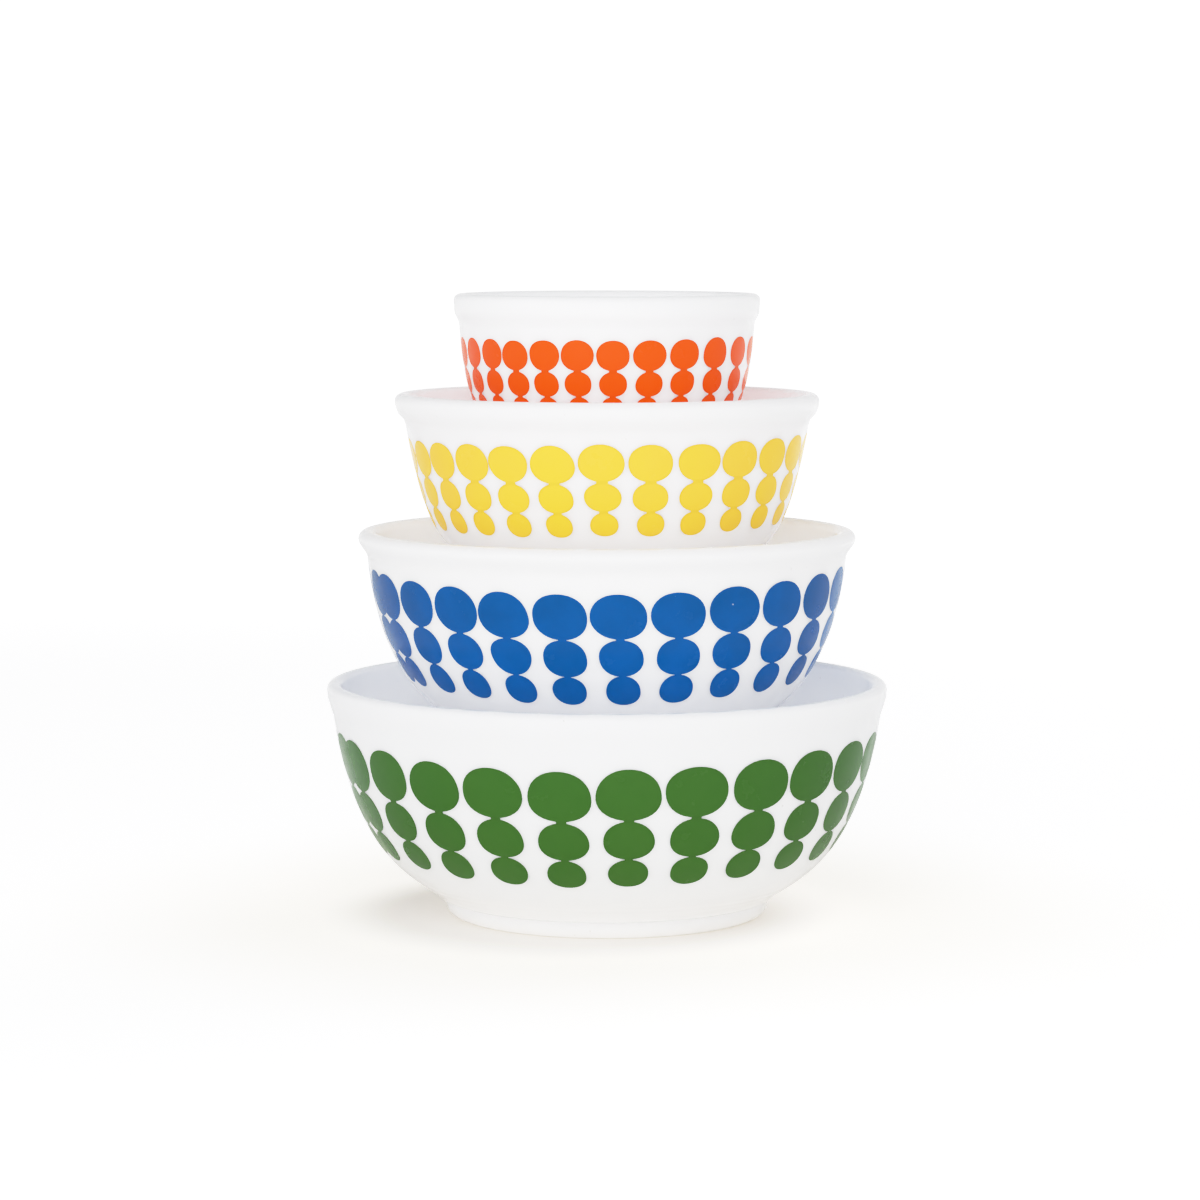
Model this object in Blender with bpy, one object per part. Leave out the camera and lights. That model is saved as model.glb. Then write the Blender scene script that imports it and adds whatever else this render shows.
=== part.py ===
"""Tower of four nesting mixing bowls, pressed in white opal glass.

Every bowl above the lowest stands on a riser, a plain upturned cup on the floor of the bowl
below, which lifts it to its height in the tower and which the bowls hide.
World units are metres, +Z up. The origin is the centre of the lowest foot's underside.
Outlines are lists of (radius, height) in millimetres, in the piece's own frame.
"""

import math
from typing import NamedTuple

import bmesh
import bpy

MM = 0.001
SEGMENTS = 48  # facets round every turned piece
SHARP = math.radians(40.0)  # edges that bend more than this keep a crisp shading

# Steps along each stretch of a bowl's outline.
OUTER_STEPS = 10
INNER_STEPS = 7
RIM_STEPS = 6
HEEL_STEPS = 2
EDGE_STEPS = 2
CROWDING = 1.6  # over 1, the outer side's steps are shorter near the rim

# Shares that are the same on every bowl of the set.
RIM_ROUNDING = 0.45  # height of the rounded rim, of its thickness
FOOT_WIDTH = 0.965  # radius of the foot ring, of the neck's radius
FOOT_EDGE = 0.045  # rounding of the ring's lower edge, of the neck's radius
FOOT_RING = 0.11  # width of the ring, of the neck's radius
RECESS = 0.035  # depth of the hollow inside the ring, of the neck's radius
FLOOR = 1.25  # thickness of the floor, of the wall's

GAP = 0.3  # between two pieces that rest on each other
RISER_WALL = 2.5
RISER_WIDTH = 0.8  # radius of a riser's top, of the hollow that it reaches into
RISER_FLARE = 2.0  # how much wider a riser is at its open end
RISER_BEVEL = 1.5

GLASS_COLOUR = (0.93, 0.93, 0.945, 1.0)
GLASS_ROUGHNESS = 0.12
RISER_COLOUR = (0.86, 0.86, 0.85, 1.0)
RISER_ROUGHNESS = 0.45


class Bowl(NamedTuple):
    """Driving dimensions of one bowl, in millimetres."""

    name: str
    rim_level: float  # top of the rim above the table, in the tower
    height: float  # foot's underside to the top of the rim
    rim_radius: float  # at the rim's widest
    wall: float  # thickness of the glass
    lip: float  # how far the rim stands out from the wall
    lip_band: float  # depth down to which the rim keeps its width
    lip_fade: float  # depth over which it then runs out into the wall
    lean: float  # how much the wall draws in for each unit down, at the rim
    upper_reach: float  # handle of the wall's curve at the rim
    lower_reach: float  # handle of the wall's curve at the neck
    heel_angle: float  # slope of the wall at the neck, degrees from level
    neck_radius: float  # crease between the wall and the foot ring
    neck_height: float

    @property
    def base(self):
        return self.rim_level - self.height

    @property
    def rounding(self):
        return (self.wall + self.lip) * RIM_ROUNDING

    @property
    def recess(self):
        return self.neck_radius * RECESS

    @property
    def recess_radius(self):
        return self.neck_radius * (FOOT_WIDTH - FOOT_RING)

    @property
    def floor(self):
        return self.recess + self.wall * FLOOR


GREEN = Bowl(
    name="green_bowl", rim_level=112.0, height=112.0, rim_radius=133.5,
    wall=5.5, lip=1.5, lip_band=7.0, lip_fade=9.0,
    lean=0.10, upper_reach=90.0, lower_reach=13.5, heel_angle=50.0,
    neck_radius=79.8, neck_height=9.0,
)
BLUE = Bowl(
    name="blue_bowl", rim_level=184.4, height=99.0, rim_radius=118.3,
    wall=5.2, lip=3.6, lip_band=4.2, lip_fade=7.8,
    lean=0.07, upper_reach=45.0, lower_reach=32.5, heel_angle=30.0,
    neck_radius=72.0, neck_height=8.0,
)
YELLOW = Bowl(
    name="yellow_bowl", rim_level=249.2, height=88.0, rim_radius=100.7,
    wall=5.0, lip=3.2, lip_band=7.7, lip_fade=5.6,
    lean=0.17, upper_reach=66.0, lower_reach=22.0, heel_angle=29.0,
    neck_radius=61.5, neck_height=7.0,
)
ORANGE = Bowl(
    name="orange_bowl", rim_level=296.2, height=76.0, rim_radius=72.5,
    wall=4.6, lip=1.9, lip_band=8.8, lip_fade=5.0,
    lean=0.05, upper_reach=49.0, lower_reach=21.0, heel_angle=28.0,
    neck_radius=44.5, neck_height=5.5,
)
# Each riser with the bowl that it stands in and the bowl that it carries.
RISERS = (
    ("large_riser", GREEN, BLUE),
    ("medium_riser", BLUE, YELLOW),
    ("small_riser", YELLOW, ORANGE),
)


def clear_scene():
    for old in list(bpy.data.objects):
        bpy.data.objects.remove(old, do_unlink=True)


def principled(name, colour, roughness):
    material = bpy.data.materials.new(name)
    material.use_nodes = True
    shader = material.node_tree.nodes["Principled BSDF"]
    shader.inputs["Base Color"].default_value = colour
    shader.inputs["Roughness"].default_value = roughness
    shader.inputs["Metallic"].default_value = 0.0
    return material


def wall_curve(bowl):
    """Corners of the wall's outer curve, a cubic from the rim down to the neck."""
    slope = math.radians(bowl.heel_angle)
    top = bowl.rim_radius - bowl.lip + bowl.lean * bowl.rounding
    return (
        (top, bowl.height),
        (top - bowl.lean * bowl.upper_reach, bowl.height - bowl.upper_reach),
        (
            bowl.neck_radius + bowl.lower_reach * math.cos(slope),
            bowl.neck_height + bowl.lower_reach * math.sin(slope),
        ),
        (bowl.neck_radius, bowl.neck_height),
    )


def on_curve(corners, t):
    """Point of a cubic at t, and the direction it runs in there."""
    a, b, c, d = corners
    s = 1.0 - t
    point = [s**3 * a[i] + 3 * s * s * t * b[i] + 3 * s * t * t * c[i] + t**3 * d[i] for i in (0, 1)]
    run = [s * s * (b[i] - a[i]) + 2 * s * t * (c[i] - b[i]) + t * t * (d[i] - c[i]) for i in (0, 1)]
    length = math.hypot(*run)
    return point, (run[0] / length, run[1] / length)


def below_rounding(bowl, corners):
    """The t at which the curve has dropped by the rim's rounding, found by halving."""
    low, high = 0.0, 1.0
    for _ in range(30):
        middle = (low + high) / 2
        if on_curve(corners, middle)[0][1] > bowl.height - bowl.rounding:
            low = middle
        else:
            high = middle
    return low


def lip_at(bowl, depth):
    """How far the rim stands out at a depth: all of it over its band, then a smooth run-out."""
    share = min(max((depth - bowl.lip_band) / bowl.lip_fade, 0.0), 1.0)
    return bowl.lip * (1.0 - share * share * (3.0 - 2.0 * share))


def outer_side(bowl):
    """From the rim down to the neck."""
    corners = wall_curve(bowl)
    first = below_rounding(bowl, corners)
    points = []
    for i in range(OUTER_STEPS + 1):
        t = first + (1.0 - first) * (i / OUTER_STEPS) ** CROWDING
        (radius, height), _ = on_curve(corners, t)
        points.append((radius + lip_at(bowl, bowl.height - height), height))
    return points


def inner_side(bowl):
    """From the heel up to the rim: the outer curve set in by the wall."""
    corners = wall_curve(bowl)
    first = below_rounding(bowl, corners)
    points = []
    for i in range(INNER_STEPS + 1):
        t = 1.0 - (1.0 - first) * i / INNER_STEPS
        (radius, height), (across, down) = on_curve(corners, t)
        points.append((radius + bowl.wall * down, height - bowl.wall * across))
    return points


def floor_and_heel(bowl, wall_foot):
    """Flat floor from the axis, then a smooth bend to the foot of the inner side."""
    slope = math.radians(bowl.heel_angle)
    rise = wall_foot[1] - bowl.floor
    corner = wall_foot[0] - rise / math.tan(slope)
    flat_radius = corner - rise / math.sin(slope)
    points = [(0.0, bowl.floor)]
    for i in range(HEEL_STEPS):
        t = i / HEEL_STEPS
        s = 1.0 - t
        radius = s * s * flat_radius + 2 * s * t * corner + t * t * wall_foot[0]
        points.append((radius, bowl.floor + t * t * rise))
    return points


def rim_top(bowl, inner, outer):
    """Half an ellipse over the rim, between the tops of the two sides."""
    centre = (inner[0] + outer[0]) / 2
    half = (outer[0] - inner[0]) / 2
    points = []
    for i in range(1, RIM_STEPS):
        angle = math.pi * (1.0 - i / RIM_STEPS)
        level = inner[1] + (outer[1] - inner[1]) * i / RIM_STEPS
        height = level + (bowl.height - level) * math.sin(angle)
        points.append((centre + half * math.cos(angle), height))
    return points


def foot(bowl):
    """Foot ring with a rounded lower edge, and the shallow hollow inside it."""
    radius = bowl.neck_radius * FOOT_WIDTH
    edge = bowl.neck_radius * FOOT_EDGE
    points = [(radius, bowl.neck_height - edge / 2)]
    for i in range(EDGE_STEPS + 1):
        angle = math.pi / 2 * i / EDGE_STEPS
        points.append((radius - edge * (1 - math.cos(angle)), edge * (1 - math.sin(angle))))
    points.append((bowl.recess_radius + bowl.recess / 2, 0.0))
    points.append((bowl.recess_radius, bowl.recess))
    points.append((0.0, bowl.recess))
    return points


def bowl_outline(bowl):
    """Half section: the floor, up the inside, over the rim, down the outside, the foot."""
    outer = outer_side(bowl)
    inner = inner_side(bowl)
    return floor_and_heel(bowl, inner[0]) + inner + rim_top(bowl, inner[-1], outer[0]) + outer + foot(bowl)


def riser_levels(lower, upper):
    """Heights above the table of a riser's open end and of its top."""
    return lower.base + lower.floor + GAP, upper.base + upper.recess - GAP


def riser_outline(lower, upper):
    """Half section: from the top's middle down the outside and back up the inside."""
    bottom, top = riser_levels(lower, upper)
    height = top - bottom
    narrow = upper.recess_radius * RISER_WIDTH
    wide = narrow + RISER_FLARE
    return [
        (0.0, height),
        (narrow - RISER_BEVEL, height),
        (narrow, height - RISER_BEVEL),
        (wide, 0.0),
        (wide - RISER_WALL, 0.0),
        (narrow - RISER_WALL, height - RISER_WALL),
        (0.0, height - RISER_WALL),
    ]


def turned_mesh(name, outline):
    """Closed solid of revolution round Z. The outline's two ends lie on the axis."""
    shape = bmesh.new()
    line = [shape.verts.new((radius * MM, 0.0, height * MM)) for radius, height in outline]
    edges = [shape.edges.new(pair) for pair in zip(line, line[1:])]
    bmesh.ops.spin(
        shape, geom=line + edges, cent=(0, 0, 0), axis=(0, 0, 1), angle=math.tau, steps=SEGMENTS
    )
    bmesh.ops.remove_doubles(shape, verts=shape.verts, dist=0.01 * MM)
    bmesh.ops.recalc_face_normals(shape, faces=shape.faces)
    mesh = bpy.data.meshes.new(name)
    shape.to_mesh(mesh)
    shape.free()
    mesh.shade_smooth()
    mesh.set_sharp_from_angle(angle=SHARP)
    return mesh


def place(name, outline, material, level, below):
    """A turned piece at its level, carried by the piece that it stands on."""
    mesh = turned_mesh(name, outline)
    mesh.materials.append(material)
    piece = bpy.data.objects.new(name, mesh)
    bpy.context.scene.collection.objects.link(piece)
    piece.location.z = level * MM
    while below is not None:
        piece.parent = piece.parent or below
        piece.location.z -= below.location.z
        below = below.parent
    return piece


def place_bowl(bowl, below):
    glass = principled(bowl.name + "_glass", GLASS_COLOUR, GLASS_ROUGHNESS)
    return place(bowl.name, bowl_outline(bowl), glass, bowl.base, below)


def place_riser(name, lower, upper, below):
    plastic = principled(name + "_plastic", RISER_COLOUR, RISER_ROUGHNESS)
    return place(name, riser_outline(lower, upper), plastic, riser_levels(lower, upper)[0], below)


def build():
    clear_scene()
    top = place_bowl(GREEN, None)
    for name, lower, upper in RISERS:
        top = place_riser(name, lower, upper, top)
        top = place_bowl(upper, top)


build()
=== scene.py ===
"""Looks of a tower of four nesting mixing bowls in white opal glass.

Each bowl is one turned glass piece and one printed enamel piece: columns of three touching
ovals that shrink downward. Both ride on the bowl's body. Hidden upturned cups carry the bowls.
Outlines are (radius, height) in millimetres in a piece's own frame; meshes are in metres.
"""

import math
from typing import NamedTuple

import bpy
import numpy as np
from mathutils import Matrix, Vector

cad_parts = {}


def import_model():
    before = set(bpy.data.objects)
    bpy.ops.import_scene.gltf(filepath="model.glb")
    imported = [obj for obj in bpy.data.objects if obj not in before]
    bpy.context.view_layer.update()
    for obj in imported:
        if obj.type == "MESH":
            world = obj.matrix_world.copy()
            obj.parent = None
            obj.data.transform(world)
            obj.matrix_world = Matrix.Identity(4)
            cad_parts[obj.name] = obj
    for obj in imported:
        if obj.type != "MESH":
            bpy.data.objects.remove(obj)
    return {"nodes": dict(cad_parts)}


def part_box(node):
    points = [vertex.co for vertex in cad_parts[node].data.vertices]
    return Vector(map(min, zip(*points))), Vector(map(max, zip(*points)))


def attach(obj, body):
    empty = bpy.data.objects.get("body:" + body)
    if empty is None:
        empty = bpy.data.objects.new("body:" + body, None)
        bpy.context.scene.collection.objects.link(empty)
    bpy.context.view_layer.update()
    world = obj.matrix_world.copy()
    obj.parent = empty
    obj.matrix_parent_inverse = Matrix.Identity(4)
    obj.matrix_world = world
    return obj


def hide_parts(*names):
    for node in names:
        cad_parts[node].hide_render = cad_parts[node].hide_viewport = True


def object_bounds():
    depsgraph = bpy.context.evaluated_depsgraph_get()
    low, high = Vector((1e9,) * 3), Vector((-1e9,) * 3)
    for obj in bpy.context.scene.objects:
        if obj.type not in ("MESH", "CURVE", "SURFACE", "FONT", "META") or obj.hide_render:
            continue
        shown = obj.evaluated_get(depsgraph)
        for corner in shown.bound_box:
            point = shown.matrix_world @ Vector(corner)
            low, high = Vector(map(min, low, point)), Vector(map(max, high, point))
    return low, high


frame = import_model()
cad_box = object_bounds()
BOXES = {name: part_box(name) for name in frame["nodes"]}

MM = 0.001

# Shares that are the same on every bowl of the set.
RIM_ROUNDING = 0.45  # height of the rounded rim, of its thickness
FOOT_WIDTH = 0.965  # radius of the foot ring, of the neck's radius
FOOT_EDGE = 0.07  # rounding of the ring's lower edge, of the neck's radius; rounder than the CAD's
FOOT_RING = 0.11  # width of the ring, of the neck's radius
RECESS = 0.035  # depth of the hollow inside the ring, of the neck's radius
FLOOR = 1.25  # thickness of the floor, of the wall's
# The step from the wall to the foot ring: how far in, of the step, and how far down, of the rounding.
FOOT_GROOVE = ((0.80, 0.09), (1.20, 0.20), (1.10, 0.34))

RISER_WALL = 2.5
RISER_FLARE = 2.0  # how much wider a riser is at its open end
RISER_BEVEL = 1.5
RISER_BEAD = 0.8  # height of the rounded lower edge

# Points round a piece, and steps along each stretch of an outline.
GLASS_SEGMENTS = 320
RISER_SEGMENTS = 160
OUTER_STEPS = 64
INNER_STEPS = 34
RIM_STEPS = 16
HEEL_STEPS = 12
EDGE_STEPS = 6
RISER_SIDE_STEPS = 13
RISER_BEVEL_STEPS = 6
RISER_BEAD_STEPS = 8
WALL_SAMPLES = 600  # finer steps along a wall, which the print is laid on
HALVINGS = 40  # of the stretch of wall that is searched for the end of the rounded rim
SHARP = math.radians(35.0)  # edges that bend more than this keep a crisp shading

# How pressed glass strays from its true section: waves to a turn with their heights, and two sets of rings.
WAVES = ((2, 0.16), (3, 0.09), (5, 0.05), (8, 0.03))
WAVE_DRIFT = 30.0  # distance down the wall over which a wave turns by up to a radian
RELIEF_FADE = 10.0  # distance from either end of the wall over which the relief fades out
RIM_RINGS = (4.0, 0.05, 4.2, 6.5)  # distance past the lip, height, pitch and reach
FOOT_RINGS = (12.0, 0.035, 5.3, 7.0)  # distance from the neck, height, pitch and reach

COLUMNS = 26  # printed columns round a bowl
SEAM_PITCH = 8.5  # degrees between the print's first and last column
PRINT_HEIGHT = 0.05  # enamel above the glass
PRINT_DEPTH = 0.05  # and below its surface, so that no gap shows
SEAM_LIFT = 0.09  # the first column lies over the last one
OVAL_STEPS = 18  # down one oval
# Steps across a column, as shares of its width: finest at the edges.
ACROSS = np.array([0.0, 0.02, 0.07, 0.16, 0.28, 0.42, 0.58, 0.72, 0.84, 0.93, 0.98, 1.0])
ROUNDNESS = 2.12  # power of the ovals' outline, where 2 is an ellipse
OVAL_TIP = 0.998  # an oval's first and last level, of its half height
CLOSEST_LEVELS = 0.04  # levels of a column that lie closer than this become one
RIPPLE = 0.012  # unevenness of an oval's edge, of its half width
RIPPLE_RATE = 3.1  # radians of it along half an oval's height
NECK_REACH = 1.6  # how far above and below the place where two ovals meet the neck runs
NECK_CURVE = 0.22  # how fast it widens there
DEEPEST_INSET = 3.0  # distance from an oval's edge past which the enamel is all the same
TOP_TONE = 0.3  # enamel at the top of a column, from 0 for pale to 1 for deep; paler there as a painted sheen
PAINTED_LIGHT_FALL = 0.4  # how much deeper it is at the bottom, painted to make up for the shade on the lower wall

# Spread of the small differences between columns and between ovals, in millimetres or shares.
COLUMN_LEVEL = 0.25
COLUMN_LEAN = 0.15  # sideways from one oval to the next
COLUMN_TONE = 0.12
OVAL_HEIGHT = 0.012
OVAL_WIDTH = 0.008
OVAL_OFFSET = 0.13
OVAL_EGG = 0.03

# Glass: linear colours, the depth that light spreads to, and where the rim and the foot are worn.
GLASS_COLOURS = (0.962, 0.964, 0.982, 1.0), (0.973, 0.975, 0.99, 1.0)
SPECK_COLOUR = (0.62, 0.60, 0.57, 1.0)
WORN_COLOUR = (0.74, 0.72, 0.69, 1.0)
REFRACTION = 1.5
GLASS_SPREAD = 0.005  # metres
GLASS_GLOW = 0.035  # stands in for the light that comes through the wall
RIM_WEAR = (3.0, 0.3)  # below the rim, from where it starts to where it is full
FOOT_WEAR = (0.4, 1.6)  # above the bottom of the foot, from where it is full to where it ends
# Enamel and the risers' plastic.
POOLED_SHADE = 0.82  # of the deep colour, in the line along an oval's edge
PINHOLE_COLOUR = (0.8, 0.8, 0.78, 1.0)
ENAMEL_SHINE = 0.15  # specular level
PLASTIC_COLOURS = (0.84, 0.84, 0.83, 1.0), (0.88, 0.88, 0.87, 1.0)

# Light. Each share is what the lamp adds to a wall that faces it, where 1 is white.
SKY_COLOUR = (0.985, 0.985, 1.0, 1.0)
HORIZON_LIGHT = 0.915
ZENITH_LIGHT = 0.10
SEEN_LIGHT = 1.6  # the background as the camera sees it
LIGHT_SIZE = 1.7  # metres across
LIGHT_DISTANCE = 2.4  # metres from the tower's middle
LIGHT_COLOUR = (0.97, 0.978, 1.0)
LIGHTS = (  # name, azimuth and elevation in degrees, share
    ("front", -12.0, 14.0, 0.285),
    ("top", -10.0, 50.0, 0.23),
    ("back", 138.0, 33.0, 0.25),
)
DIFFUSE_BOUNCES = 16  # light reaches the gaps between the bowls only after many bounces
ALL_BOUNCES = 20

# The camera's response, as light and what is shown for it: near straight, with a soft shoulder.
WHITE_LIGHT = 1.5
SHOULDER = ((0.1, 0.1), (0.2, 0.205), (0.35, 0.40), (0.5, 0.575), (0.7, 0.745), (0.9, 0.85), (1.15, 0.925))

# Floor: colours, and distances from the tower's axis in metres over which each effect comes or goes.
FLOOR_HALF = 9.0
# Close to the tower the floor is painted darker and cream, a painted warm shade, and its glow there is
# cream too.
FLOOR_COLOURS = (0.91, 0.88, 0.83, 1.0), (0.96, 0.96, 0.96, 1.0)
GLOW_COLOURS = (1.0, 0.93, 0.80, 1.0), (1.0, 1.0, 1.0, 1.0)
CREAM_SHADE_ENDS = (0.08, 0.34)
GLOW_RISES = (0.10, 0.30)
BACKDROP_STARTS = (0.9, 2.4)
# The glow that only the camera sees starts past these distances, leaving a painted shadow under the tower.
SHADE_ENDS = (0.085, 0.13)
SHADE_CENTRE = -0.012  # the painted shadow under the tower lies a little to the left

LENS = 118.5
SENSOR = 36.0
CAMERA_PLACE = (-0.0033, -1.875, 0.3365)
CAMERA_DIP = 5.67  # degrees that the camera looks down


class Bowl(NamedTuple):
    """A bowl's driving dimensions in millimetres; its box gives the rest."""

    colour: str
    wall: float  # thickness of the glass
    lip: float  # how far the rim stands out from the wall
    lip_band: float  # depth down to which the rim keeps its width
    lip_fade: float  # depth over which it then runs out into the wall
    lean: float  # how much the wall draws in for each unit down, at the rim
    upper_reach: float  # handle of the wall's curve at the rim
    lower_reach: float  # handle of the wall's curve at the neck
    heel_angle: float  # slope of the wall at the neck, degrees from level
    neck_radius: float  # where the wall meets the foot ring
    neck_height: float

    @property
    def node(self):
        return self.colour + "_bowl"

    @property
    def base(self):
        return BOXES[self.node][0].z / MM

    @property
    def height(self):
        return BOXES[self.node][1].z / MM - self.base

    @property
    def rim_radius(self):
        return BOXES[self.node][1].x / MM

    @property
    def rounding(self):
        return (self.wall + self.lip) * RIM_ROUNDING

    @property
    def recess(self):
        return self.neck_radius * RECESS

    @property
    def recess_radius(self):
        return self.neck_radius * (FOOT_WIDTH - FOOT_RING)

    @property
    def floor(self):
        return self.recess + self.wall * FLOOR


class Print(NamedTuple):
    """A bowl's printed pattern. Lengths are millimetres, down the wall from the rim or across."""

    levels: tuple  # top and bottom of each oval in the front column
    widths: tuple
    neck: float  # half width where two ovals meet, of the lower oval's half width
    first: float  # degrees from the front to the seam's first column
    drift: float  # degrees by which columns stray from even steps, in one wave round the bowl
    drift_to: float  # degrees from the front to where they stray most
    crowd: float  # degrees by which they stray in two waves
    crowd_to: float  # twice the degrees to where that is most
    swell: float  # share by which ovals are wider on one side of the bowl
    swell_to: float  # degrees from the front to that side
    twist: float  # degrees that a column turns from its first oval to its last
    bow: float  # how much lower the print sits at front and back than at the sides
    bow_at: float  # degrees from the front to the lowest column
    tilt: float  # how much lower the print sits at the right than at the front
    pale: tuple  # linear colours of the enamel, at its lightest and at its deepest; the shift from one to the other down each column is painted light
    deep: tuple
    seed: int


BOWLS = (
    (
        Bowl("green", 5.5, 1.5, 7.0, 9.0, 0.10, 90.0, 13.5, 50.0, 79.8, 9.0),
        Print(
            levels=((26.5, 51.0), (51.7, 71.6), (71.9, 88.6)), widths=(29.4, 23.0, 17.9),
            neck=0.20, first=-65.8, drift=1.46, drift_to=94.0, crowd=0.22, crowd_to=115.0,
            swell=0.035, swell_to=60.0, twist=0.6,
            bow=5.0, bow_at=-12.0, tilt=0.0,
            pale=(0.046, 0.158, 0.0215), deep=(0.060, 0.171, 0.0270), seed=11,
        ),
    ),
    (
        Bowl("blue", 5.2, 3.6, 4.2, 7.8, 0.07, 45.0, 32.5, 30.0, 72.0, 8.0),
        Print(
            levels=((21.8, 43.5), (43.8, 62.1), (62.2, 78.4)), widths=(25.5, 20.2, 15.6),
            neck=0.19, first=-66.2, drift=0.58, drift_to=144.0, crowd=1.03, crowd_to=-179.0,
            swell=0.045, swell_to=75.0, twist=1.6,
            bow=4.8, bow_at=-11.0, tilt=0.0,
            pale=(0.0003, 0.086, 0.255), deep=(0.0032, 0.137, 0.430), seed=23,
        ),
    ),
    (
        Bowl("yellow", 5.0, 3.2, 7.7, 5.6, 0.17, 66.0, 22.0, 29.0, 61.5, 7.0),
        Print(
            levels=((21.1, 38.6), (39.1, 53.2), (53.5, 65.5)), widths=(20.5, 16.3, 12.6),
            neck=0.31, first=163.6, drift=2.81, drift_to=-121.0, crowd=1.47, crowd_to=122.0,
            swell=0.06, swell_to=60.0, twist=0.9,
            bow=0.0, bow_at=0.0, tilt=-1.1,
            pale=(0.985, 0.560, 0.072), deep=(1.0, 0.610, 0.050), seed=37,
        ),
    ),
    (
        Bowl("orange", 4.6, 1.9, 8.8, 5.0, 0.05, 49.0, 21.0, 28.0, 44.5, 5.5),
        Print(
            levels=((20.4, 34.5), (35.0, 46.7), (47.1, 56.5)), widths=(15.0, 12.4, 9.7),
            neck=0.28, first=156.7, drift=5.51, drift_to=150.0, crowd=2.0, crowd_to=-104.0,
            swell=0.05, swell_to=40.0, twist=0.0,
            bow=0.0, bow_at=0.0, tilt=-0.4,
            pale=(1.0, 0.108, 0.0050), deep=(1.0, 0.106, 0.0010), seed=41,
        ),
    ),
)
RISERS = ("large_riser", "medium_riser", "small_riser")


def smoothstep(x):
    x = np.clip(x, 0.0, 1.0)
    return x * x * (3.0 - 2.0 * x)


# Sections


def wall_curve(bowl):
    """Corners of the cubic that the outer wall follows from the rim to the neck."""
    slope = math.radians(bowl.heel_angle)
    top = bowl.rim_radius - bowl.lip + bowl.lean * bowl.rounding
    return np.array(
        [
            (top, bowl.height),
            (top - bowl.lean * bowl.upper_reach, bowl.height - bowl.upper_reach),
            (
                bowl.neck_radius + bowl.lower_reach * math.cos(slope),
                bowl.neck_height + bowl.lower_reach * math.sin(slope),
            ),
            (bowl.neck_radius, bowl.neck_height),
        ]
    )


def on_curve(corners, t):
    """Points of a cubic at each t, and the unit directions it runs in there."""
    a, b, c, d = corners
    t = np.asarray(t, float)[:, None]
    s = 1.0 - t
    point = s**3 * a + 3 * s * s * t * b + 3 * s * t * t * c + t**3 * d
    run = s * s * (b - a) + 2 * s * t * (c - b) + t * t * (d - c)
    return point, run / np.linalg.norm(run, axis=1, keepdims=True)


def below_rounding(bowl, corners):
    """Where on the wall's curve the rounded rim ends, found by halving."""
    low, high = 0.0, 1.0
    for _ in range(HALVINGS):
        middle = (low + high) / 2
        if on_curve(corners, [middle])[0][0, 1] > bowl.height - bowl.rounding:
            low = middle
        else:
            high = middle
    return low


def outer_side(bowl, steps):
    """From the rim down to the neck, with the rim's lip."""
    corners = wall_curve(bowl)
    first = below_rounding(bowl, corners)
    points, _ = on_curve(corners, np.linspace(first, 1.0, steps + 1))
    depth = bowl.height - points[:, 1]
    points[:, 0] += bowl.lip * (1.0 - smoothstep((depth - bowl.lip_band) / bowl.lip_fade))
    return points


def inner_side(bowl, steps):
    corners = wall_curve(bowl)
    first = below_rounding(bowl, corners)
    points, run = on_curve(corners, np.linspace(1.0, first, steps + 1))
    return points + bowl.wall * np.stack([run[:, 1], -run[:, 0]], axis=1)


def floor_and_heel(bowl, wall_foot):
    slope = math.radians(bowl.heel_angle)
    rise = wall_foot[1] - bowl.floor
    corner = wall_foot[0] - rise / math.tan(slope)
    flat = corner - rise / math.sin(slope)
    t = np.arange(HEEL_STEPS) / HEEL_STEPS
    s = 1.0 - t
    heel = np.stack(
        [s * s * flat + 2 * s * t * corner + t * t * wall_foot[0], bowl.floor + t * t * rise], axis=1
    )
    floor = [(flat * share, bowl.floor) for share in (0.0, 0.25, 0.5, 0.75)]
    return np.vstack([floor, heel])


def rim_top(bowl, inner, outer):
    angle = np.pi * (1.0 - np.arange(1, RIM_STEPS) / RIM_STEPS)
    share = np.arange(1, RIM_STEPS) / RIM_STEPS
    level = inner[1] + (outer[1] - inner[1]) * share
    radius = (inner[0] + outer[0]) / 2 + (outer[0] - inner[0]) / 2 * np.cos(angle)
    return np.stack([radius, level + (bowl.height - level) * np.sin(angle)], axis=1)


def foot(bowl):
    radius = bowl.neck_radius * FOOT_WIDTH
    edge = bowl.neck_radius * FOOT_EDGE
    angle = np.pi / 2 * np.arange(EDGE_STEPS + 1) / EDGE_STEPS
    rounded = np.stack([radius - edge * (1 - np.cos(angle)), edge * (1 - np.sin(angle))], axis=1)
    ring = [
        (bowl.recess_radius + bowl.recess / 2, 0.0),
        (bowl.recess_radius, bowl.recess),
        (bowl.recess_radius / 2, bowl.recess),
        (0.0, bowl.recess),
    ]
    step = bowl.neck_radius - radius
    groove = [
        (bowl.neck_radius - inward * step, bowl.neck_height - down * edge) for inward, down in FOOT_GROOVE
    ]
    return np.vstack([groove, rounded, ring])


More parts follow.
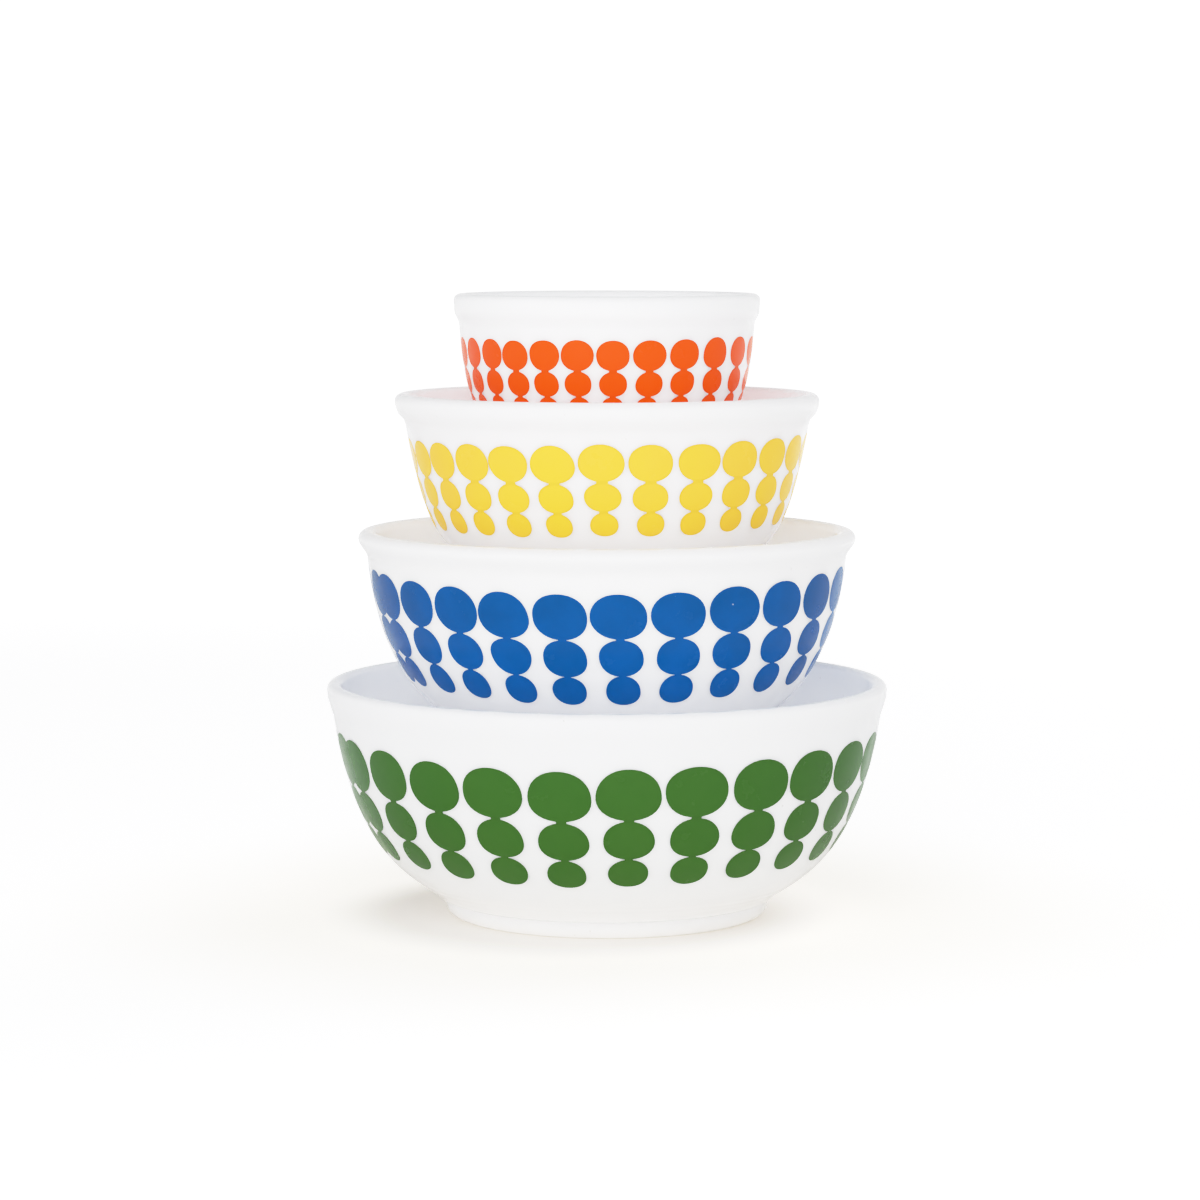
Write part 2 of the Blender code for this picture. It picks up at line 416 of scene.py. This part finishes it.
class Wall:
    """Outer side of a bowl by distance down from the rim, with the uneven surface of pressed glass."""

    def __init__(self, bowl, seed):
        self.points = outer_side(bowl, WALL_SAMPLES)
        steps = np.linalg.norm(np.diff(self.points, axis=0), axis=1)
        self.along = bowl.rounding + np.concatenate([[0.0], np.cumsum(steps)])
        run = np.gradient(self.points, axis=0)
        run /= np.linalg.norm(run, axis=1, keepdims=True)
        self.normals = np.stack([-run[:, 1], run[:, 0]], axis=1)
        self.lip_end = bowl.lip_band + bowl.lip_fade
        rng = np.random.default_rng(seed)
        self.waves = [
            (k, size * rng.uniform(0.5, 1.0), rng.uniform(0, 2 * np.pi), rng.uniform(-1, 1))
            for k, size in WAVES
        ]

    def relief(self, along, angle):
        """How far the glass stands off its true section, out of round and ringed below the rim."""
        left = self.along[-1] - along
        fade = smoothstep(along / RELIEF_FADE) * smoothstep(left / RELIEF_FADE)
        waves = sum(a * np.cos(k * angle + p + q * along / WAVE_DRIFT) for k, a, p, q in self.waves)
        start, size, pitch, reach = RIM_RINGS
        below = along - self.lip_end - start
        upper = size * np.cos(below * 2 * np.pi / pitch) * np.exp(-((below / reach) ** 2))
        start, size, pitch, reach = FOOT_RINGS
        lower = size * np.cos(left * 2 * np.pi / pitch) * np.exp(-(((left - start) / reach) ** 2))
        return fade * (waves + upper + lower)

    def at(self, along, angle, lift=0.0):
        """Points at distances down the wall and angles from the front, in metres, own frame."""
        radius = np.interp(along, self.along, self.points[:, 0])
        height = np.interp(along, self.along, self.points[:, 1])
        out = np.interp(along, self.along, self.normals[:, 0])
        up = np.interp(along, self.along, self.normals[:, 1])
        off = self.relief(along, angle) + lift
        radius, height = radius + out * off, height + up * off
        return np.stack([radius * np.sin(angle), -radius * np.cos(angle), height], axis=-1) * MM

    def radius(self, along):
        return np.interp(along, self.along, self.points[:, 0])


# Meshes


def finished(name, mesh, material, body, base=0.0):
    """An object for the mesh, standing at its level and riding on its body."""
    mesh.shade_smooth()
    mesh.set_sharp_from_angle(angle=SHARP)
    mesh.materials.append(material)
    piece = bpy.data.objects.new(name, mesh)
    bpy.context.scene.collection.objects.link(piece)
    piece.location.z = base * MM
    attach(piece, body)
    return piece


def turned(name, outline, segments, shift=None):
    """Mesh of revolution about Z from an outline whose ends lie on the axis.

    shift(rows, angles) gives the points of the rows that aren't plainly turned.
    """
    angles = np.arange(segments) * 2 * np.pi / segments
    rings = outline[1:-1]
    points = np.empty((len(rings), segments, 3))
    points[..., 0] = rings[:, :1] * np.sin(angles) * MM
    points[..., 1] = -rings[:, :1] * np.cos(angles) * MM
    points[..., 2] = rings[:, 1:] * MM
    if shift:
        shift(points, angles)
    start = np.array([[0.0, 0.0, outline[0, 1] * MM]])
    end = np.array([[0.0, 0.0, outline[-1, 1] * MM]])
    verts = np.vstack([start, points.reshape(-1, 3), end])
    index = 1 + np.arange(len(rings) * segments).reshape(len(rings), segments)
    after = np.roll(index, -1, axis=1)
    quads = np.stack([index[:-1], after[:-1], after[1:], index[1:]], axis=-1).reshape(-1, 4)
    first = [(0, b, a) for a, b in zip(index[0], after[0])]
    last = [(len(verts) - 1, a, b) for a, b in zip(index[-1], after[-1])]
    mesh = bpy.data.meshes.new(name)
    mesh.from_pydata(verts.tolist(), [], quads.tolist() + first + last)
    mesh.flip_normals()
    return mesh


def bowl_mesh(bowl, wall):
    outer = outer_side(bowl, OUTER_STEPS)
    inner = inner_side(bowl, INNER_STEPS)
    top = rim_top(bowl, inner[-1], outer[0])
    before = np.vstack([floor_and_heel(bowl, inner[0]), inner, top])
    outline = np.vstack([before, outer, foot(bowl)])
    first = len(before) - 1  # the axis point isn't a ring

    def uneven(points, angles):
        steps = np.linalg.norm(np.diff(outer, axis=0), axis=1)
        along = bowl.rounding + np.concatenate([[0.0], np.cumsum(steps)])
        points[first : first + len(outer)] = wall.at(*np.meshgrid(along, angles, indexing="ij"))

    return turned(bowl.colour + "_glass", outline, GLASS_SEGMENTS, uneven)


def riser_mesh(name):
    low, high = BOXES[name]
    height = (high.z - low.z) / MM
    narrow = high.x / MM - RISER_FLARE
    wide = high.x / MM
    quarter = np.pi / 2 * np.arange(RISER_BEVEL_STEPS + 1) / RISER_BEVEL_STEPS
    corner = np.stack(
        [narrow - RISER_BEVEL * (1 - np.sin(quarter)), height - RISER_BEVEL * (1 - np.cos(quarter))], axis=1
    )
    sides = np.linspace(0, 1, RISER_SIDE_STEPS + 1)[1:-1, None]
    skirt = (1 - sides) * corner[-1] + sides * np.array([wide, RISER_BEAD])
    bead = RISER_WALL / 2
    half = np.pi * np.arange(RISER_BEAD_STEPS + 1) / RISER_BEAD_STEPS
    edge = np.stack([wide - bead + bead * np.cos(half), RISER_BEAD * (1 - np.sin(half))], axis=1)
    top_in = np.array([narrow - RISER_WALL, height - RISER_WALL])
    inside = (1 - sides) * edge[-1] + sides * top_in
    top = [(0.0, height), (narrow / 2, height)]
    ceiling = [top_in, (top_in[0] / 2, top_in[1]), (0.0, top_in[1])]
    return turned(name + "_cup", np.vstack([top, corner, skirt, edge, inside, ceiling]), RISER_SEGMENTS)


# Print


class Oval(NamedTuple):
    """One oval on the wall, in millimetres down from the rim and across from the column's middle."""

    centre: float
    half_height: float
    half_width: float
    offset: float
    egg: float  # share by which it is wider at its lower end
    ripple: tuple  # phases of its left and right edge

    def edges(self, along):
        """Left and right edge at each level, nan above and below the oval."""
        u = (along - self.centre) / self.half_height
        with np.errstate(invalid="ignore"):
            width = self.half_width * (1 - np.abs(u) ** ROUNDNESS) ** (1 / ROUNDNESS) * (1 + self.egg * u)
        left = self.offset - width * (1 + RIPPLE * np.sin(RIPPLE_RATE * u + self.ripple[0]))
        right = self.offset + width * (1 + RIPPLE * np.sin(RIPPLE_RATE * u + self.ripple[1]))
        return left, right

    def inset(self, along, across):
        """About how far a point lies inside the oval's edge."""
        share = np.hypot((along - self.centre) / self.half_height, (across - self.offset) / self.half_width)
        return (1 - share) * min(self.half_height, self.half_width)


def ovals_of(pattern, angle, rng):
    """The three ovals of the column at this angle, each a little different from the last."""
    bowed = 1 - math.cos(2 * (angle - math.radians(pattern.bow_at)))
    wider = 1 + pattern.swell * math.cos(angle - math.radians(pattern.swell_to))
    rise = pattern.bow * bowed / 2 - pattern.tilt * math.sin(angle)
    rise -= rng.normal(0.0, COLUMN_LEVEL)
    lean = rng.normal(0.0, COLUMN_LEAN)
    ovals = []
    for i, ((top, bottom), width) in enumerate(zip(pattern.levels, pattern.widths)):
        taller = rng.normal(1.0, OVAL_HEIGHT)
        ovals.append(
            Oval(
                centre=(top + bottom) / 2 - rise,
                half_height=(bottom - top) / 2 * taller,
                half_width=width / 2 * wider * rng.normal(1.0, OVAL_WIDTH),
                offset=lean * (i - 1) + rng.normal(0.0, OVAL_OFFSET),
                egg=rng.normal(0.0, OVAL_EGG),
                ripple=tuple(rng.uniform(0, 2 * np.pi, 2)),
            )
        )
    return ovals


def column_outline(ovals, neck):
    """Levels down a column, with its left and right edge at each."""
    turn = np.cos(np.pi * np.arange(OVAL_STEPS + 1) / OVAL_STEPS)
    turn[0], turn[-1] = OVAL_TIP, -OVAL_TIP
    along = np.concatenate([o.centre - o.half_height * turn for o in ovals])
    meets = []
    for upper, lower in zip(ovals, ovals[1:]):
        level = (upper.centre + upper.half_height + lower.centre - lower.half_height) / 2
        meets.append((level, (upper.offset + lower.offset) / 2, neck * lower.half_width))
        along = np.append(along, level)
    along = np.unique(np.round(along, 2))
    along = along[np.concatenate([[True], np.diff(along) > CLOSEST_LEVELS])]
    edges = [o.edges(along) for o in ovals]
    for level, middle, half in meets:
        near = np.abs(along - level)
        half = np.where(near < NECK_REACH, half + NECK_CURVE * near**2, np.nan)
        edges.append((middle - half, middle + half))
    return along, np.nanmin([e[0] for e in edges], axis=0), np.nanmax([e[1] for e in edges], axis=0)


def skin(wall, angle, along, across, lift):
    """Closed thin body over a grid of the wall: its points and faces."""
    turned_by = angle + across / wall.radius(along)
    top = wall.at(along, turned_by, lift + PRINT_HEIGHT)
    under = wall.at(along, turned_by, lift - PRINT_DEPTH)
    rows, cells = along.shape
    index = np.arange(rows * cells).reshape(rows, cells)
    corners = [index[:-1, :-1], index[1:, :-1], index[1:, 1:], index[:-1, 1:]]
    faces = np.stack(corners, axis=-1).reshape(-1, 4)
    ring = np.concatenate([index[0, :-1], index[:-1, -1], index[-1, :0:-1], index[:0:-1, 0]])
    after = np.roll(ring, -1)
    count = index.size
    sides = np.stack([ring, after, after + count, ring + count], axis=-1)
    points = np.vstack([top.reshape(-1, 3), under.reshape(-1, 3)])
    return points, np.vstack([faces, faces[:, ::-1] + count, sides])


def column_angle(pattern, k):
    """Angle from the front of the k-th column, counted from the seam."""
    pitch = (360.0 - SEAM_PITCH) / (COLUMNS - 1)
    even = pattern.first + pitch * k
    drift = pattern.drift * math.cos(math.radians(even - pattern.drift_to))
    crowd = pattern.crowd * math.cos(math.radians(2 * even - pattern.crowd_to))
    return math.radians(even + (drift + crowd))


def print_mesh(bowl, pattern, wall):
    """All the columns as one mesh, with each point's distance from the edge and its mix between the pale
    and the deep enamel: random from column to column, and shifted down each column as painted light.
    """
    rng = np.random.default_rng(pattern.seed)
    points, faces, inset, tone_and_painted_light = [], [], [], []
    count = 0
    for k in range(COLUMNS):
        angle = column_angle(pattern, k)
        ovals = ovals_of(pattern, angle, rng)
        levels, left, right = column_outline(ovals, pattern.neck)
        along = np.repeat(levels[:, None], len(ACROSS), axis=1)
        across = left[:, None] + (right - left)[:, None] * ACROSS
        down = (along - ovals[0].centre) / (ovals[2].centre - ovals[0].centre)
        turned_by = angle + math.radians(pattern.twist) * down
        part, part_faces = skin(wall, turned_by, along, across, SEAM_LIFT if k == 0 else 0.0)
        points.append(part)
        faces.append(part_faces + count)
        count += len(part)
        depth = np.max([o.inset(along, across) for o in ovals], axis=0).ravel()
        inset.append(np.tile(np.clip(depth, 0.0, DEEPEST_INSET), 2))
        # Painted light: paler at the top of each column, a painted sheen, and deeper towards the bottom,
        # painted against the shade on the lower wall; the random spread between columns is the enamel's
        # own.
        deep = TOP_TONE + PAINTED_LIGHT_FALL * np.clip(down, 0.0, 1.0) + rng.normal(0.0, COLUMN_TONE)
        tone_and_painted_light.append(np.tile(deep.ravel(), 2))
    mesh = bpy.data.meshes.new(bowl.colour + "_print")
    mesh.from_pydata(np.vstack(points).tolist(), [], np.vstack(faces).tolist())
    for name, values in (("inset", inset), ("tone_and_painted_light", tone_and_painted_light)):
        layer = mesh.attributes.new(name, "FLOAT", "POINT")
        layer.data.foreach_set("value", np.concatenate(values).astype(np.float32))
    return mesh


# Materials


class Nodes:
    """Shorthand for building one material's node tree."""

    def __init__(self, name):
        self.material = bpy.data.materials.new(name)
        self.material.use_nodes = True
        self.tree = self.material.node_tree
        self.shader = self.tree.nodes["Principled BSDF"]

    def add(self, kind, **settings):
        node = self.tree.nodes.new("ShaderNode" + kind)
        for key, value in settings.items():
            setattr(node, key, value)
        return node

    def link(self, output, socket):
        self.tree.links.new(output, socket)

    def noise(self, scale, detail=3.0, rough=0.5, stretch=(1, 1, 1)):
        """Noise over the piece's own coordinates; scale is features to the metre."""
        place = self.add("TexCoord")
        mapping = self.add("Mapping")
        mapping.inputs["Scale"].default_value = stretch
        node = self.add("TexNoise")
        node.inputs["Scale"].default_value = scale
        node.inputs["Detail"].default_value = detail
        node.inputs["Roughness"].default_value = rough
        self.link(place.outputs["Object"], mapping.inputs["Vector"])
        self.link(mapping.outputs["Vector"], node.inputs["Vector"])
        return node.outputs["Fac"]

    def level(self):
        """Height above the piece's own foot, in metres."""
        split = self.add("SeparateXYZ")
        self.link(self.add("TexCoord").outputs["Object"], split.inputs[0])
        return split.outputs["Z"]

    def distance(self, centre=0.0):
        """Distance from a point that lies this far to the right of the tower's axis."""
        mapping = self.add("Mapping")
        mapping.inputs["Location"].default_value = (-centre, 0.0, 0.0)
        length = self.add("VectorMath", operation="LENGTH")
        self.link(self.add("TexCoord").outputs["Object"], mapping.inputs["Vector"])
        self.link(mapping.outputs["Vector"], length.inputs[0])
        return length.outputs["Value"]

    def attribute(self, name):
        return self.add("Attribute", attribute_name=name).outputs["Fac"]

    def ramp(self, source, low, high, first=0.0, last=1.0):
        """Value from low to high of the source, mapped smoothly to first..last."""
        node = self.add("MapRange", interpolation_type="SMOOTHSTEP")
        for key, value in (("From Min", low), ("From Max", high), ("To Min", first), ("To Max", last)):
            node.inputs[key].default_value = value
        self.link(source, node.inputs["Value"])
        return node.outputs["Result"]

    def feed(self, node, values):
        """Sets each numbered socket to its value, or links it where the value is an output."""
        for socket, value in values.items():
            if isinstance(value, bpy.types.NodeSocket):
                self.link(value, node.inputs[socket])
            else:
                node.inputs[socket].default_value = value

    def mix(self, share, first, second):
        """Colour between two colours or outputs."""
        node = self.add("Mix", data_type="RGBA")
        self.feed(node, {0: share, 6: first, 7: second})
        return node.outputs[2]

    def maths(self, operation, a, b):
        node = self.add("Math", operation=operation)
        self.feed(node, {0: a, 1: b})
        return node.outputs[0]

    def bump(self, height, distance, strength=1.0, after=None):
        node = self.add("Bump")
        node.inputs["Strength"].default_value = strength
        node.inputs["Distance"].default_value = distance
        self.link(height, node.inputs["Height"])
        if after:
            self.link(after, node.inputs["Normal"])
        return node.outputs["Normal"]

    def finish(self, colour, roughness, normal):
        self.link(colour, self.shader.inputs["Base Color"])
        self.link(roughness, self.shader.inputs["Roughness"])
        self.link(normal, self.shader.inputs["Normal"])
        return self.material


def opal_glass(name, bowl):
    """White opal glass: faint clouding, specks, and rubbed spots along the rim and the foot."""
    n = Nodes(name)
    cloud = n.ramp(n.noise(14.0, detail=4.0, rough=0.55), 0.3, 0.7)
    speck = n.ramp(n.noise(330.0, detail=2.0, rough=0.4), 0.76, 0.82, last=0.5)
    colour = n.mix(speck, n.mix(cloud, *GLASS_COLOURS), SPECK_COLOUR)

    level = n.level()
    rim = n.ramp(level, (bowl.height - RIM_WEAR[0]) * MM, (bowl.height - RIM_WEAR[1]) * MM)
    foot_edge = n.ramp(level, FOOT_WEAR[0] * MM, FOOT_WEAR[1] * MM, 1.0, 0.0)
    spots = n.ramp(n.noise(170.0, detail=5.0, rough=0.65), 0.55, 0.75)
    worn = n.maths("MULTIPLY", n.maths("MAXIMUM", rim, foot_edge), spots)
    colour = n.mix(n.maths("MULTIPLY", worn, 0.55), colour, WORN_COLOUR)

    smear = n.ramp(n.noise(26.0, detail=5.0, rough=0.6, stretch=(1, 1, 2.6)), 0.35, 0.75, 0.07, 0.17)
    roughness = n.maths("ADD", smear, n.maths("MULTIPLY", worn, 0.3))
    ripple = n.bump(n.noise(38.0, detail=2.0, rough=0.4), distance=0.0006, strength=0.5)
    pits = n.bump(n.noise(900.0, detail=2.0), distance=0.00002, strength=0.6, after=ripple)

    n.shader.inputs["IOR"].default_value = REFRACTION
    n.shader.inputs["Subsurface Weight"].default_value = 1.0
    n.shader.inputs["Subsurface Radius"].default_value = (1.0, 1.0, 1.0)
    n.shader.inputs["Subsurface Scale"].default_value = GLASS_SPREAD
    # Painted light: the glass glows a little all over, in place of the light that comes through the wall.
    n.shader.inputs["Emission Color"].default_value = (1.0, 1.0, 1.0, 1.0)
    n.shader.inputs["Emission Strength"].default_value = GLASS_GLOW
    return n.finish(colour, roughness, pits)


def enamel(name, pattern):
    """Fired enamel: a darker line where it pools at the edge, patchy body, pinholes and a soft gloss, with
    painted light in its colour down each column.
    """
    n = Nodes(name)
    patch = n.ramp(n.noise(55.0, detail=4.0, rough=0.6), 0.3, 0.7, -0.12, 0.12)
    tone_and_painted_light = n.maths("ADD", n.attribute("tone_and_painted_light"), patch)
    # The mix carries painted light down each column as well as the enamel's own patches.
    body = n.mix(tone_and_painted_light, pattern.pale + (1,), pattern.deep + (1,))
    line = n.ramp(n.attribute("inset"), 0.15, 0.9, 0.45, 0.0)
    body = n.mix(line, body, tuple(POOLED_SHADE * c for c in pattern.deep) + (1,))
    hole = n.ramp(n.noise(420.0, detail=1.0, rough=0.3), 0.84, 0.88, last=0.5)
    body = n.mix(hole, body, PINHOLE_COLOUR)
    roughness = n.ramp(n.noise(70.0, detail=5.0, rough=0.6), 0.3, 0.75, 0.15, 0.30)
    grain = n.bump(n.noise(600.0, rough=0.6), distance=0.00003, strength=0.7)
    n.shader.inputs["IOR"].default_value = REFRACTION
    n.shader.inputs["Specular IOR Level"].default_value = ENAMEL_SHINE
    return n.finish(body, roughness, grain)


def riser_plastic(name):
    """Satin moulded plastic with a fine spark-eroded grain."""
    n = Nodes(name)
    colour = n.mix(n.ramp(n.noise(20.0), 0.3, 0.7), *PLASTIC_COLOURS)
    roughness = n.ramp(n.noise(60.0, detail=4.0), 0.3, 0.7, 0.40, 0.52)
    grain = n.bump(n.noise(1500.0, detail=2.0), distance=0.00004, strength=0.6)
    return n.finish(colour, roughness, grain)


# Object


def build_bowl(bowl, pattern):
    wall = Wall(bowl, pattern.seed)
    opal = opal_glass(bowl.colour + "_opal", bowl)
    mesh = bowl_mesh(bowl, wall)
    glass = finished(bowl.colour + "_glass", mesh, opal, bowl.node, bowl.base)
    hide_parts(bowl.node)
    colour = bowl.colour + "_enamel"
    mesh = print_mesh(bowl, pattern, wall)
    finished(bowl.colour + "_print", mesh, enamel(colour, pattern), bowl.node, bowl.base)


def build_riser(name, material):
    base = BOXES[name][0].z / MM
    piece = finished(name + "_cup", riser_mesh(name), material, name, base)
    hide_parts(name)


# Stage


def world():
    """White to the eye; as light, a soft studio that is brightest from the horizon down."""
    scene_world = bpy.data.worlds.new("studio")
    bpy.context.scene.world = scene_world
    scene_world.use_nodes = True
    tree = scene_world.node_tree
    tree.nodes.clear()
    add = tree.nodes.new
    seen, light = add("ShaderNodeBackground"), add("ShaderNodeBackground")
    seen.inputs["Color"].default_value = (1, 1, 1, 1)
    seen.inputs["Strength"].default_value = SEEN_LIGHT
    light.inputs["Color"].default_value = SKY_COLOUR
    place, split = add("ShaderNodeTexCoord"), add("ShaderNodeSeparateXYZ")
    tree.links.new(place.outputs["Generated"], split.inputs[0])
    fall = add("ShaderNodeMapRange")
    fall.inputs["To Min"].default_value = HORIZON_LIGHT
    fall.inputs["To Max"].default_value = ZENITH_LIGHT
    tree.links.new(split.outputs["Z"], fall.inputs["Value"])
    tree.links.new(fall.outputs["Result"], light.inputs["Strength"])
    path, mix, out = add("ShaderNodeLightPath"), add("ShaderNodeMixShader"), add("ShaderNodeOutputWorld")
    tree.links.new(path.outputs["Is Camera Ray"], mix.inputs[0])
    tree.links.new(light.outputs[0], mix.inputs[1])
    tree.links.new(seen.outputs[0], mix.inputs[2])
    tree.links.new(mix.outputs[0], out.inputs["Surface"])


def floor():
    """A pale table: painted darker and cream close to the tower, a painted warm shade, white further off.

    Past a painted shadow under the tower, which lies a little to the left, it gets a glow that only the
    camera sees, so it lights nothing.
    """
    half = FLOOR_HALF
    mesh = bpy.data.meshes.new("floor")
    mesh.from_pydata(
        [(-half, -half, 0), (half, -half, 0), (half, half, 0), (-half, half, 0)], [], [(0, 1, 2, 3)]
    )
    n = Nodes("table")
    distance = n.distance()
    far = n.ramp(distance, *CREAM_SHADE_ENDS)
    # Painted light: the floor glows and so lights the bowls from below, less close to the tower, a painted
    # shade round it; far off it is a bright backdrop.
    near_glow = n.ramp(distance, *GLOW_RISES, 0.06, 0.24)
    glow = n.maths("ADD", near_glow, n.ramp(distance, *BACKDROP_STARTS, last=0.5))
    # Painted shadow: the camera-only glow is left out under the tower, a little to the left of its axis.
    past_painted_shadow = n.ramp(n.distance(SHADE_CENTRE), *SHADE_ENDS, last=0.55)
    eye = n.maths("MULTIPLY", n.add("LightPath").outputs["Is Camera Ray"], past_painted_shadow)
    n.link(n.mix(far, *FLOOR_COLOURS), n.shader.inputs["Base Color"])
    n.link(n.mix(far, *GLOW_COLOURS), n.shader.inputs["Emission Color"])
    n.link(n.maths("ADD", glow, eye), n.shader.inputs["Emission Strength"])
    n.shader.inputs["Roughness"].default_value = 0.9
    n.shader.inputs["Specular IOR Level"].default_value = 0.0
    mesh.materials.append(n.material)
    table = bpy.data.objects.new("floor", mesh)
    bpy.context.scene.collection.objects.link(table)


def soft_light(name, azimuth, elevation, share, aim):
    """A big round diffuser that adds this share of white to a wall facing it; reflections leave it out."""
    data = bpy.data.lights.new(name, "AREA")
    data.shape = "DISK"
    data.size = LIGHT_SIZE
    data.color = LIGHT_COLOUR
    turn, rise = math.radians(azimuth), math.radians(elevation)
    away = Vector((math.sin(turn) * math.cos(rise), -math.cos(turn) * math.cos(rise), math.sin(rise)))
    seen = LIGHT_SIZE**2 / 4 / (LIGHT_SIZE**2 / 4 + LIGHT_DISTANCE**2)
    data.energy = share / seen * math.pi * math.pi * LIGHT_SIZE**2 / 4
    light = bpy.data.objects.new(name, data)
    bpy.context.scene.collection.objects.link(light)
    light.location = aim + away * LIGHT_DISTANCE
    light.rotation_euler = away.to_track_quat("Z", "Y").to_euler()
    light.visible_glossy = False
    light.visible_camera = False


def camera():
    data = bpy.data.cameras.new("camera")
    data.lens = LENS
    data.sensor_width = SENSOR
    data.clip_end = 100.0
    view = bpy.data.objects.new("camera", data)
    bpy.context.scene.collection.objects.link(view)
    view.location = CAMERA_PLACE
    view.rotation_euler = (math.radians(90.0 - CAMERA_DIP), 0.0, 0.0)
    bpy.context.scene.camera = view


def response():
    """The camera's response, as a curve on the plain view."""
    settings = bpy.context.scene.view_settings
    settings.view_transform = "Standard"
    settings.use_curve_mapping = True
    mapping = settings.curve_mapping
    mapping.white_level = (WHITE_LIGHT,) * 3
    curve = mapping.curves[3]
    for light, shown in SHOULDER:
        curve.points.new(light / WHITE_LIGHT, shown)
    mapping.update()


for bowl, pattern in BOWLS:
    build_bowl(bowl, pattern)
plastic = riser_plastic("riser_satin")
for name in RISERS:
    build_riser(name, plastic)

world()
floor()
middle = (cad_box[0] + cad_box[1]) / 2
for name, azimuth, elevation, share in LIGHTS:
    soft_light(name, azimuth, elevation, share, middle)
camera()
response()
bpy.context.scene.cycles.diffuse_bounces = DIFFUSE_BOUNCES
bpy.context.scene.cycles.max_bounces = ALL_BOUNCES
